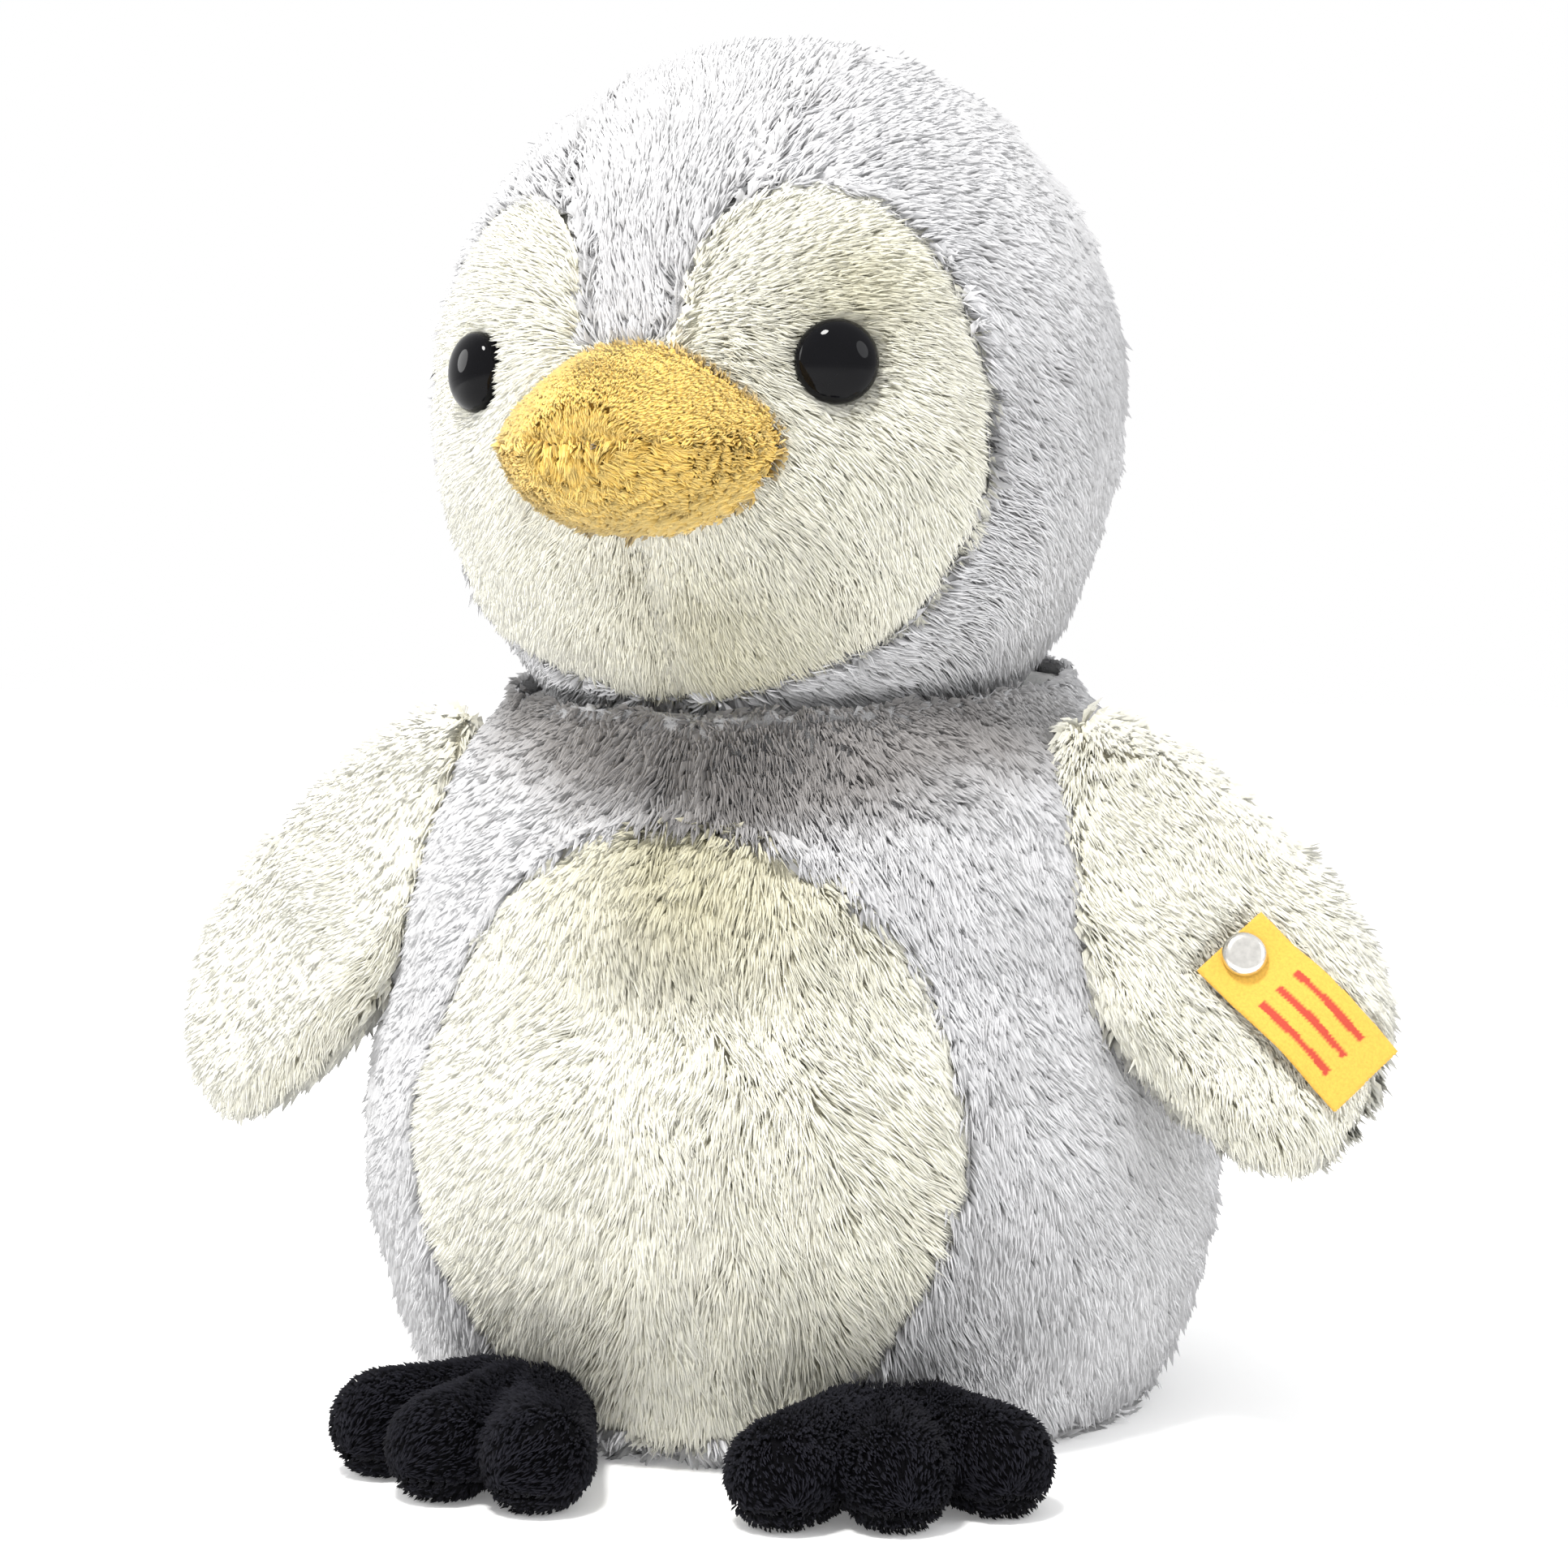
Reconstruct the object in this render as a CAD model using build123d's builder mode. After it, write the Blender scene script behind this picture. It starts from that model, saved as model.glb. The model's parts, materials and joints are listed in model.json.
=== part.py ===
from build123d import *
from math import asin, cos, degrees, radians, sin, sqrt
import os

os.makedirs("parts", exist_ok=True)

# ---- driving dimensions (millimetres) ----
PILE = 3.0  # cloth backing plus pressed pile
PLUSH_GAP = 0.4  # air between soft pieces that move on each other

# body: (radius, height) up the side of a pear-shaped sack
BODY_SIDE = [
    (57.0, 0.0),
    (60.6, 6.6),
    (65.2, 17.4),
    (67.8, 28.0),
    (68.5, 40.0),
    (67.8, 55.0),
    (66.2, 66.0),
    (63.6, 77.0),
    (59.8, 89.0),
    (56.2, 99.0),
    (51.8, 108.0),
    (46.0, 117.0),
    (38.0, 126.0),
]
BASE_SEAM_Z = 3.0
BELLY_Z = 50.5
BELLY_HALF_WIDTH = 42.0
BELLY_HALF_HEIGHT = 45.5

# bag of pellets that weights the bottom
BAG_R = 44.0
BAG_TOP_Z = 21.0
BAG_WALL = 0.8

# head: ball above its middle, longer egg below, turned a little to its right
HEAD_Y = -8.0
HEAD_Z = 162.0
HEAD_R = 55.3
HEAD_DROP = 66.0
HEAD_TURN = 6.5
NECK_BALL_R = 62.6
NECK_SOCKET_R = NECK_BALL_R + PLUSH_GAP
NECK_PLUG_R = 14.0
NECK_PLUG_Z = 85.0

# cheek outline on the penguin's left, seen straight on from the head's middle
CHEEK = [
    (0.0, -48.5),
    (12.0, -46.0),
    (24.0, -41.5),
    (33.4, -36.0),
    (39.8, -27.5),
    (44.2, -19.0),
    (46.2, -9.0),
    (46.0, 0.0),
    (44.0, 8.0),
    (41.0, 15.0),
    (35.8, 22.0),
    (30.8, 25.5),
    (25.0, 27.0),
    (18.5, 25.8),
    (13.0, 22.0),
    (10.0, 16.5),
    (8.5, 9.0),
    (7.0, 3.0),
]
GUSSET_FRONT = [(9.0, -2.0), (9.0, 12.0), (12.0, 22.0), (16.0, 30.0), (18.0, 70.0)]
GUSSET_BACK = [(9.0, -70.0), (18.0, -20.0), (20.0, 20.0), (18.0, 70.0)]

# beak sections: (distance in front of the head's middle, half width, top, bottom)
BEAK_SECTIONS = [
    (40.0, 23.0, 6.0, -23.5),
    (56.0, 20.5, 4.2, -22.8),
    (65.5, 15.8, 0.4, -20.8),
    (72.0, 9.2, -4.6, -17.4),
]
BEAK_LIP = -10.5
# right half of every section from top to bottom, as shares of its width and height
BEAK_ROUND = [(0.0, 1.0), (0.40, 0.88), (0.74, 0.54), (1.0, 0.0), (0.80, -0.54), (0.44, -0.89), (0.0, -1.0)]
BEAK_CLOTH = 2.0
BEAK_SHIFT = 1.8  # sewn on a little to the penguin's left

EYE_SIDE = 33.5  # degrees either side of the face
EYE_LIFT = 1.5  # degrees above the head's middle
EYE_R = 6.2
EYE_DOME = 3.8
EYE_SINK = 1.0  # the stuffing pulls each eye a little below the pile
EYE_SEAT = 1.2
SHANK_R = 1.6
SHANK_DEPTH = 8.0
WASHER_R = 6.0
WASHER_TOP = 3.6
WASHER_THICK = 1.4

# wing: root point, then directions along its length and out of its front face
WING_ROOT = (52.0, -17.0, 107.0)
WING_ALONG = (0.4904, -0.1875, -0.8511)
WING_FRONT = (0.3040, -0.8784, 0.3687)
WING_SEAM = (0.141, 0.907, 0.396)
WING_OUTLINE = [
    (-4.0, 0.0),
    (3.0, 9.0),
    (12.0, 14.5),
    (28.0, 21.0),
    (42.0, 24.0),
    (55.0, 22.5),
    (65.0, 16.5),
    (71.0, 7.0),
    (70.5, -1.5),
    (64.0, -7.5),
    (51.0, -12.5),
    (38.0, -15.5),
    (22.0, -14.5),
    (8.0, -10.0),
    (-1.5, -5.5),
]
WING_MIDDLE = (34.0, 4.0)
WING_HALF = 4.5
WING_SWELL = [(-1.0, 0.84), (-0.6, 0.95), (0.0, 1.0), (0.6, 0.95), (1.0, 0.84)]
WING_FILL = 0.86  # stuffing's size against the cover's
WING_FILL_HALF = 2.4
WING_RAISE = 45.0

# button and ribbon on the front of the left wing
BUTTON_AT = (41.7, 5.9)
BUTTON_R = 3.4
BUTTON_STEM_R = 1.1
BUTTON_RISE = 1.5
RIBBON_GAP = 1.6  # the ribbon lies on the pile
BUTTON_BACK_R = 4.0
BUTTON_BACK_THICK = 0.9
TAG_LENGTH = 29.0
TAG_WIDTH = 13.6
TAG_THICK = 0.6
TAG_PAST_BUTTON = 3.2
TAG_SWING = 18.8
TAG_HOLE_R = 1.5

# feet: heel point and the middles of the three toe ends, both feet sewn on
# with a slight twist to the penguin's left
FOOT_TWIST = 5.0
FOOT_HEEL = (27.0, -54.0)
TOE_ENDS = [(18.0, -84.6), (33.3, -81.4), (45.8, -71.0)]
TOE_R = 8.0
TOE_Z = 7.2
FOOT_SEAM_Z = 3.4
FOOT_CLOTH = 2.0
FOOT_HINGE = (28.5, -57.5)
FOOT_AZIMUTH = 23.0
FOOT_LIFT = 12.0

SIDES = {"left": 1, "right": -1}

turn = radians(HEAD_TURN)
FACE_OUT = (-sin(turn), -cos(turn), 0)
FACE = Plane(
    origin=(0, HEAD_Y, HEAD_Z),
    x_dir=(cos(turn), -sin(turn), 0),
    z_dir=FACE_OUT,
)
HEAD_HALVES = Plane(origin=FACE.origin, z_dir=FACE.x_dir)


# ---- body ----
def body_solid(grow):
    """The pear-shaped sack, grown or shrunk, with the ball of the neck taken out."""
    side = [(r + grow, z) for r, z in BODY_SIDE]
    floor_z = BASE_SEAM_Z if grow < 0 else 0.0
    with BuildPart() as sack:
        with BuildSketch(Plane.XZ):
            with BuildLine():
                edge = Spline(*side)
                Line(edge @ 1, (0, side[-1][1]))
                Line((0, side[-1][1]), (0, 0))
                Line((0, 0), edge @ 0)
            make_face()
        revolve(axis=Axis.Z)
        split(bisect_by=Plane.XY.offset(floor_z), keep=Keep.TOP)
        with BuildSketch(FACE):
            with BuildLine():
                CenterArc((0, 0), NECK_SOCKET_R, -90, 180)
                Line((0, NECK_SOCKET_R), (0, -NECK_SOCKET_R))
            make_face()
        revolve(axis=Axis(FACE.origin, (0, 0, 1)), mode=Mode.SUBTRACT)
    return sack.part


def belly_prism():
    """The oval of the belly patch, run forward through the front of the body."""
    with BuildPart() as prism:
        with BuildSketch(Plane.XZ):
            with Locations((0, BELLY_Z)):
                Ellipse(BELLY_HALF_WIDTH, BELLY_HALF_HEIGHT)
        extrude(amount=100)
    return prism.part


def neck_pocket(radius, bottom):
    """A round well below the head, down to the given height."""
    with BuildPart() as well:
        with BuildSketch(Plane.XY.offset(bottom)):
            with Locations((0, HEAD_Y)):
                Circle(radius)
        extrude(amount=HEAD_Z - bottom)
    return well.part


body_outer = body_solid(0)
body_inner = body_solid(-PILE)
belly_oval = belly_prism()

with BuildPart() as neck_core:
    add(neck_pocket(NECK_PLUG_R, NECK_PLUG_Z))
    add(body_inner, mode=Mode.INTERSECT)
neck_core.part.label = "neck_core"
export_step(neck_core.part, "parts/neck_core.step")

well = neck_pocket(NECK_PLUG_R + PLUSH_GAP, NECK_PLUG_Z - PLUSH_GAP)

with BuildPart() as body_cover:
    add(body_outer)
    add(body_inner, mode=Mode.SUBTRACT)
    add(well, mode=Mode.SUBTRACT)

for name, side in SIDES.items():
    keep_side = Keep.TOP if side > 0 else Keep.BOTTOM
    for end, keep_end in {"front": Keep.BOTTOM, "back": Keep.TOP}.items():
        with BuildPart() as body_panel:
            add(body_cover.part)
            split(bisect_by=Plane.XY.offset(BASE_SEAM_Z), keep=Keep.TOP)
            split(bisect_by=Plane.YZ, keep=keep_side)
            split(bisect_by=Plane((0, 0, 0), z_dir=(0, 1, 0)), keep=keep_end)
            if end == "front":
                add(belly_oval, mode=Mode.SUBTRACT)
        body_panel.part.label = f"body_{end}_{name}"
        export_step(body_panel.part, f"parts/body_{end}_{name}.step")

with BuildPart() as belly_patch:
    add(body_cover.part)
    split(bisect_by=Plane.XY.offset(BASE_SEAM_Z), keep=Keep.TOP)
    add(belly_oval, mode=Mode.INTERSECT)
belly_patch.part.label = "belly_patch"
export_step(belly_patch.part, "parts/belly_patch.step")

with BuildPart() as body_base:
    add(body_cover.part)
    split(bisect_by=Plane.XY.offset(BASE_SEAM_Z), keep=Keep.BOTTOM)
body_base.part.label = "body_base"
export_step(body_base.part, "parts/body_base.step")

with BuildPart() as pellet_fill:
    with BuildSketch(Plane.XY.offset(BASE_SEAM_Z + BAG_WALL)):
        Circle(BAG_R - BAG_WALL)
    extrude(amount=BAG_TOP_Z - BASE_SEAM_Z - 2 * BAG_WALL)
    fillet(pellet_fill.edges(), 3.0)
pellet_fill.part.label = "pellet_fill"
export_step(pellet_fill.part, "parts/pellet_fill.step")

with BuildPart() as bag_space:
    with BuildSketch(Plane.XY.offset(BASE_SEAM_Z)):
        Circle(BAG_R)
    extrude(amount=BAG_TOP_Z - BASE_SEAM_Z)
    fillet(bag_space.edges(), 3.8)

with BuildPart() as pellet_bag:
    add(bag_space.part)
    add(pellet_fill.part, mode=Mode.SUBTRACT)
pellet_bag.part.label = "pellet_bag"
export_step(pellet_bag.part, "parts/pellet_bag.step")

with BuildPart() as body_stuffing:
    add(body_inner)
    add(bag_space.part, mode=Mode.SUBTRACT)
    add(well, mode=Mode.SUBTRACT)
body_stuffing.part.label = "body_stuffing"
export_step(body_stuffing.part, "parts/body_stuffing.step")


# ---- head ----
def head_solid(grow):
    """Ball on top, egg below, ending underneath in the ball of the neck."""
    radius = HEAD_R + grow
    drop = HEAD_DROP + grow
    ball = NECK_BALL_R + grow
    meet_z = -sqrt((ball**2 - radius**2) / (1 - radius**2 / drop**2))
    egg_angle = asin(-meet_z / drop)
    ball_angle = degrees(asin(-meet_z / ball))
    egg = []
    for step in range(7):
        slope = egg_angle * step / 6
        egg.append((radius * cos(slope), -drop * sin(slope)))
    with BuildPart() as shape:
        with BuildSketch(FACE):
            with BuildLine():
                CenterArc((0, 0), radius, 0, 90)
                Spline(*egg)
                CenterArc((0, 0), ball, -90, 90 - ball_angle)
                Line((0, radius), (0, -ball))
            make_face()
        revolve(axis=Axis(FACE.origin, (0, 0, 1)))
    return shape.part


def cheek_prism(side):
    """One cheek outline, run forward through the front of the head."""
    with BuildPart() as prism:
        with BuildSketch(FACE):
            with BuildLine():
                rim = Spline(*[(side * x, z) for x, z in CHEEK])
                Line(rim @ 1, (0, 3.0))
                Line((0, 3.0), rim @ 0)
            make_face()
        extrude(amount=90)
    return prism.part


def gusset_prism():
    """The band that runs from the beak over the crown and down the back."""
    with BuildPart() as prism:
        for outline, depth in ((GUSSET_FRONT, 90), (GUSSET_BACK, -90)):
            mirrored = [(-x, z) for x, z in reversed(outline)]
            with BuildSketch(FACE):
                with BuildLine():
                    Polyline(*outline, *mirrored, close=True)
                make_face()
            extrude(amount=depth)
    return prism.part


def eye_plane(side):
    """Plane on the head's skin where an eye sits, facing outwards."""
    across = radians(side * EYE_SIDE - HEAD_TURN)
    lift = radians(EYE_LIFT)
    out = Vector(sin(across) * cos(lift), -cos(across) * cos(lift), sin(lift))
    return Plane(origin=FACE.origin + out * (HEAD_R - EYE_SINK), z_dir=out)


def eye_solid(side):
    """Glossy dome with the shank that pushes through the cheek."""
    plane = eye_plane(side)
    with BuildPart() as shape:
        with BuildSketch(Plane(plane.origin, x_dir=plane.x_dir, z_dir=plane.y_dir)):
            with BuildLine():
                Line((0, -EYE_DOME), (0, SHANK_DEPTH))
                Line((0, SHANK_DEPTH), (SHANK_R, SHANK_DEPTH))
                Line((SHANK_R, SHANK_DEPTH), (SHANK_R, EYE_SEAT))
                Line((SHANK_R, EYE_SEAT), (EYE_R, EYE_SEAT))
                Line((EYE_R, EYE_SEAT), (EYE_R, 0))
                EllipticalCenterArc((0, 0), EYE_R, EYE_DOME, start_angle=-90, arc_size=90)
            make_face()
        revolve(axis=Axis(plane.origin, plane.z_dir))
    return shape.part


def beak_solid(shrink):
    """Soft rounded pouch, wide at the lip and narrowing forward."""
    with BuildPart() as shape:
        for forward, half, top, bottom in BEAK_SECTIONS:
            right = []
            for across, up in BEAK_ROUND:
                height = top - shrink - BEAK_LIP if up > 0 else BEAK_LIP - bottom - shrink
                right.append((across * (half - shrink), BEAK_LIP + up * height))
            left = [(-x, z) for x, z in reversed(right[1:-1])]
            outline = [(x + BEAK_SHIFT, z) for x, z in right + left]
            with BuildSketch(FACE.offset(forward - shrink)):
                with BuildLine():
                    Spline(*outline, periodic=True)
                make_face()
        loft()
    return shape.part


head_outer = head_solid(0)
head_inner = head_solid(-PILE)
gusset_band = gusset_prism()
cheeks = {name: cheek_prism(side) for name, side in SIDES.items()}
eyes = {name: eye_solid(side) for name, side in SIDES.items()}

with BuildPart() as head_cover:
    add(head_outer)
    add(head_inner, mode=Mode.SUBTRACT)
    for eye in eyes.values():
        add(eye, mode=Mode.SUBTRACT)

with BuildPart() as head_stuffing:
    add(head_inner)
    for eye in eyes.values():
        add(eye, mode=Mode.SUBTRACT)
    for side in SIDES.values():
        with BuildSketch(eye_plane(side).offset(-WASHER_TOP)):
            Circle(WASHER_R)
        extrude(amount=-WASHER_THICK, mode=Mode.SUBTRACT)
head_stuffing.part.label = "head_stuffing"
export_step(head_stuffing.part, "parts/head_stuffing.step")

for name, side in SIDES.items():
    with BuildPart() as face_panel:
        add(head_cover.part)
        add(cheeks[name], mode=Mode.INTERSECT)
    face_panel.part.label = f"face_{name}"
    export_step(face_panel.part, f"parts/face_{name}.step")

    with BuildPart() as head_side:
        add(head_cover.part)
        split(bisect_by=HEAD_HALVES, keep=Keep.TOP if side > 0 else Keep.BOTTOM)
        add(gusset_band, mode=Mode.SUBTRACT)
        add(cheeks[name], mode=Mode.SUBTRACT)
    head_side.part.label = f"head_side_{name}"
    export_step(head_side.part, f"parts/head_side_{name}.step")

    eyes[name].label = f"eye_{name}"
    export_step(eyes[name], f"parts/eye_{name}.step")

    with BuildPart() as eye_washer:
        with BuildSketch(eye_plane(side).offset(-WASHER_TOP)):
            Circle(WASHER_R)
            Circle(SHANK_R, mode=Mode.SUBTRACT)
        extrude(amount=-WASHER_THICK)
    eye_washer.part.label = f"eye_washer_{name}"
    export_step(eye_washer.part, f"parts/eye_washer_{name}.step")

with BuildPart() as crown_gusset:
    add(head_cover.part)
    add(gusset_band, mode=Mode.INTERSECT)
    for cheek in cheeks.values():
        add(cheek, mode=Mode.SUBTRACT)
crown_gusset.part.label = "crown_gusset"
export_step(crown_gusset.part, "parts/crown_gusset.step")

beak_inside = beak_solid(BEAK_CLOTH)
LIP_PLANE = Plane.XY.offset(HEAD_Z + BEAK_LIP)
for name, keep in {"upper": Keep.TOP, "lower": Keep.BOTTOM}.items():
    with BuildPart() as beak_half:
        add(beak_solid(0))
        add(beak_inside, mode=Mode.SUBTRACT)
        add(head_outer, mode=Mode.SUBTRACT)
        split(bisect_by=LIP_PLANE, keep=keep)
    beak_half.part.label = f"beak_{name}"
    export_step(beak_half.part, f"parts/beak_{name}.step")

with BuildPart() as beak_stuffing:
    add(beak_inside)
    add(head_outer, mode=Mode.SUBTRACT)
beak_stuffing.part.label = "beak_stuffing"
export_step(beak_stuffing.part, "parts/beak_stuffing.step")


# ---- wings ----
def wing_plane(side):
    """Middle plane of a wing: x runs to the tip, z out of the front face."""
    return Plane(
        origin=(side * WING_ROOT[0], WING_ROOT[1], WING_ROOT[2]),
        x_dir=(side * WING_ALONG[0], WING_ALONG[1], WING_ALONG[2]),
        z_dir=(side * WING_FRONT[0], WING_FRONT[1], WING_FRONT[2]),
    )


def wing_solid(side, size, half):
    """Leaf-shaped pad, rounded round its edge and held off the body as it swings."""
    root = wing_plane(side)
    hinge = Axis(root.origin, (-WING_SEAM[0], -side * WING_SEAM[1], -side * WING_SEAM[2]))
    with BuildPart() as pad:
        for height, spread in WING_SWELL:
            middle_x, middle_y = WING_MIDDLE
            outline = []
            for x, y in WING_OUTLINE:
                local_x = middle_x + (x - middle_x) * spread * size
                local_y = middle_y + (y - middle_y) * spread * size
                outline.append((local_x, side * local_y))
            with BuildSketch(root.offset(height * half)):
                with BuildLine():
                    Spline(*outline, periodic=True)
                make_face()
        loft()
        for angle in (0, WING_RAISE / 2, WING_RAISE):
            add(wing_room.rotate(hinge, -angle), mode=Mode.SUBTRACT)
    return pad.part


def button_stem_space(root):
    """Round hole right through the left wing for the button's stem."""
    with BuildPart() as hole:
        with BuildSketch(root.offset(-WING_HALF)):
            with Locations(BUTTON_AT):
                Circle(BUTTON_STEM_R)
        extrude(amount=2 * WING_HALF)
    return hole.part


wing_room = body_solid(PLUSH_GAP)
stem_space = button_stem_space(wing_plane(1))

for name, side in SIDES.items():
    wing_outer = wing_solid(side, 1.0, WING_HALF)
    wing_inner = wing_solid(side, WING_FILL, WING_FILL_HALF)
    for face, keep in {"front": Keep.TOP, "back": Keep.BOTTOM}.items():
        with BuildPart() as wing_panel:
            add(wing_outer)
            add(wing_inner, mode=Mode.SUBTRACT)
            split(bisect_by=wing_plane(side), keep=keep)
            if name == "left":
                add(stem_space, mode=Mode.SUBTRACT)
        wing_panel.part.label = f"wing_{name}_{face}"
        export_step(wing_panel.part, f"parts/wing_{name}_{face}.step")

    with BuildPart() as wing_stuffing:
        add(wing_inner)
        if name == "left":
            add(stem_space, mode=Mode.SUBTRACT)
    wing_stuffing.part.label = f"wing_{name}_stuffing"
    export_step(wing_stuffing.part, f"parts/wing_{name}_stuffing.step")


# ---- button and ribbon ----
left_wing = wing_plane(1)
TAG_BACK = WING_HALF + RIBBON_GAP
CAP_BACK = TAG_BACK + TAG_THICK + PLUSH_GAP

with BuildPart() as button_cap:
    with BuildSketch(left_wing.offset(-WING_HALF)):
        with Locations(BUTTON_AT):
            Circle(BUTTON_STEM_R)
    extrude(amount=WING_HALF + CAP_BACK)
    with BuildSketch(left_wing.offset(CAP_BACK)):
        with Locations(BUTTON_AT):
            Circle(BUTTON_R)
    extrude(amount=BUTTON_RISE)
    cap_faces = button_cap.faces().sort_by(Axis(left_wing.origin, left_wing.z_dir))
    fillet(cap_faces[-1].edges(), BUTTON_RISE - 0.2)
button_cap.part.label = "button_cap"
export_step(button_cap.part, "parts/button_cap.step")

with BuildPart() as button_back:
    with BuildSketch(left_wing.offset(-WING_HALF - BUTTON_BACK_THICK)):
        with Locations(BUTTON_AT):
            Circle(BUTTON_BACK_R)
    extrude(amount=BUTTON_BACK_THICK)
button_back.part.label = "button_back"
export_step(button_back.part, "parts/button_back.step")

button_point = left_wing.from_local_coords((BUTTON_AT[0], BUTTON_AT[1], TAG_BACK))
swing = radians(TAG_SWING)
ribbon_along = left_wing.x_dir * cos(swing) + left_wing.y_dir * sin(swing)
ribbon_plane = Plane(origin=button_point, x_dir=ribbon_along, z_dir=left_wing.z_dir)

with BuildPart() as ribbon_tag:
    with BuildSketch(ribbon_plane):
        with Locations((TAG_LENGTH / 2 - TAG_PAST_BUTTON, 0)):
            Rectangle(TAG_LENGTH, TAG_WIDTH)
        Circle(TAG_HOLE_R, mode=Mode.SUBTRACT)
    extrude(amount=TAG_THICK)
ribbon_tag.part.label = "ribbon_tag"
export_step(ribbon_tag.part, "parts/ribbon_tag.step")


# ---- feet ----
def foot_solid(side, shrink):
    """Three rounded toes fanned from one heel, flat underneath."""
    heel = Vector(side * FOOT_HEEL[0], FOOT_HEEL[1], TOE_Z).rotate(Axis.Z, FOOT_TWIST)
    radius = TOE_R - shrink
    azimuth = radians(FOOT_AZIMUTH)
    hinge = Axis(
        Vector(side * FOOT_HINGE[0], FOOT_HINGE[1], TOE_Z).rotate(Axis.Z, FOOT_TWIST),
        Vector(-cos(azimuth), -side * sin(azimuth), 0).rotate(Axis.Z, FOOT_TWIST),
    )
    with BuildPart() as foot:
        for x, y in TOE_ENDS:
            reach = Vector(side * x, y, TOE_Z).rotate(Axis.Z, FOOT_TWIST) - heel
            length = reach.length
            with BuildSketch(Plane(origin=heel, x_dir=reach, z_dir=(reach.Y, -reach.X, 0))):
                with BuildLine():
                    Line((0, 0), (0, radius))
                    Line((0, radius), (length, radius))
                    CenterArc((length, 0), radius, 0, 90)
                    Line((length + radius, 0), (0, 0))
                make_face()
            revolve(axis=Axis(heel, reach))
        split(bisect_by=Plane.XY.offset(shrink), keep=Keep.TOP)
        for angle in (0, FOOT_LIFT / 2, FOOT_LIFT):
            add(wing_room.rotate(hinge, -angle), mode=Mode.SUBTRACT)
    return foot.part


for name, side in SIDES.items():
    foot_outer = foot_solid(side, 0)
    foot_inner = foot_solid(side, FOOT_CLOTH)
    for face, keep in {"top": Keep.TOP, "sole": Keep.BOTTOM}.items():
        with BuildPart() as foot_panel:
            add(foot_outer)
            add(foot_inner, mode=Mode.SUBTRACT)
            split(bisect_by=Plane.XY.offset(FOOT_SEAM_Z), keep=keep)
        foot_panel.part.label = f"foot_{name}_{face}"
        export_step(foot_panel.part, f"parts/foot_{name}_{face}.step")

    with BuildPart() as foot_stuffing:
        add(foot_inner)
    foot_stuffing.part.label = f"foot_{name}_stuffing"
    export_step(foot_stuffing.part, f"parts/foot_{name}_stuffing.step")
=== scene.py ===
import json
from math import cos, radians, sin

import bpy
import numpy as np
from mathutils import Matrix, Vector, kdtree

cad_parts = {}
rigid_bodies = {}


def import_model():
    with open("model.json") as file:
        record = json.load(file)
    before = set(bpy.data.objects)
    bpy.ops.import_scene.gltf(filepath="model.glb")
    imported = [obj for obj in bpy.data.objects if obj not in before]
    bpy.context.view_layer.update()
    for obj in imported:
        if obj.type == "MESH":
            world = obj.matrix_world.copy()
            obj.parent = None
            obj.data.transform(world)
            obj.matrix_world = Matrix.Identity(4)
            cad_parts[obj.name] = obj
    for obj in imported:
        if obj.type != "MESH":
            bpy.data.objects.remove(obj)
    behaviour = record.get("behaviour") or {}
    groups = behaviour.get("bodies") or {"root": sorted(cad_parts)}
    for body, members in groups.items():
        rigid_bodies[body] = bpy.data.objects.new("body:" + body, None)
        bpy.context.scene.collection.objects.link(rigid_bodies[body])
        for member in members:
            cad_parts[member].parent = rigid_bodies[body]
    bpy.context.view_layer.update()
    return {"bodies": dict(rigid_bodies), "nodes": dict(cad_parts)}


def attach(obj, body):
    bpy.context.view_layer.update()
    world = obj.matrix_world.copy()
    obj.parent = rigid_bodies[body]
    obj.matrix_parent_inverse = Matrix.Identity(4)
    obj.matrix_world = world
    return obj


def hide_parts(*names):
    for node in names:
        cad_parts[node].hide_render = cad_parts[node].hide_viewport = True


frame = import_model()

# ---- camera ----
# A short portrait lens close in front of the toy, a little to its left and
# looking slightly down at the middle of the body.
CAMERA_AT = (0.1709, -0.5175, 0.1319)
CAMERA_TURN = 18.5
CAMERA_DOWN = 3.5
CAMERA_LENS = 76.5

bpy.ops.object.camera_add(location=CAMERA_AT)
camera = bpy.context.object
camera.name = "camera"
camera.rotation_euler = (radians(90 - CAMERA_DOWN), 0, radians(CAMERA_TURN))
camera.data.lens = CAMERA_LENS
camera.data.sensor_width = 36.0
camera.data.clip_start = 0.01
bpy.context.scene.camera = camera


# ---- filling ----
# Loose polyester fibre pushed into the body, neck, head and beak, and a cotton
# bag of pellets in the bottom. The wings and feet have their own fill below.
def deselect_all():
    """Leaves nothing selected."""
    for thing in bpy.context.selected_objects:
        thing.select_set(False)


def apply_all(piece):
    """Applies every modifier on one piece."""
    deselect_all()
    piece.select_set(True)
    bpy.context.view_layer.objects.active = piece
    for modifier in list(piece.modifiers):
        bpy.ops.object.modifier_apply(modifier=modifier.name)


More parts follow.
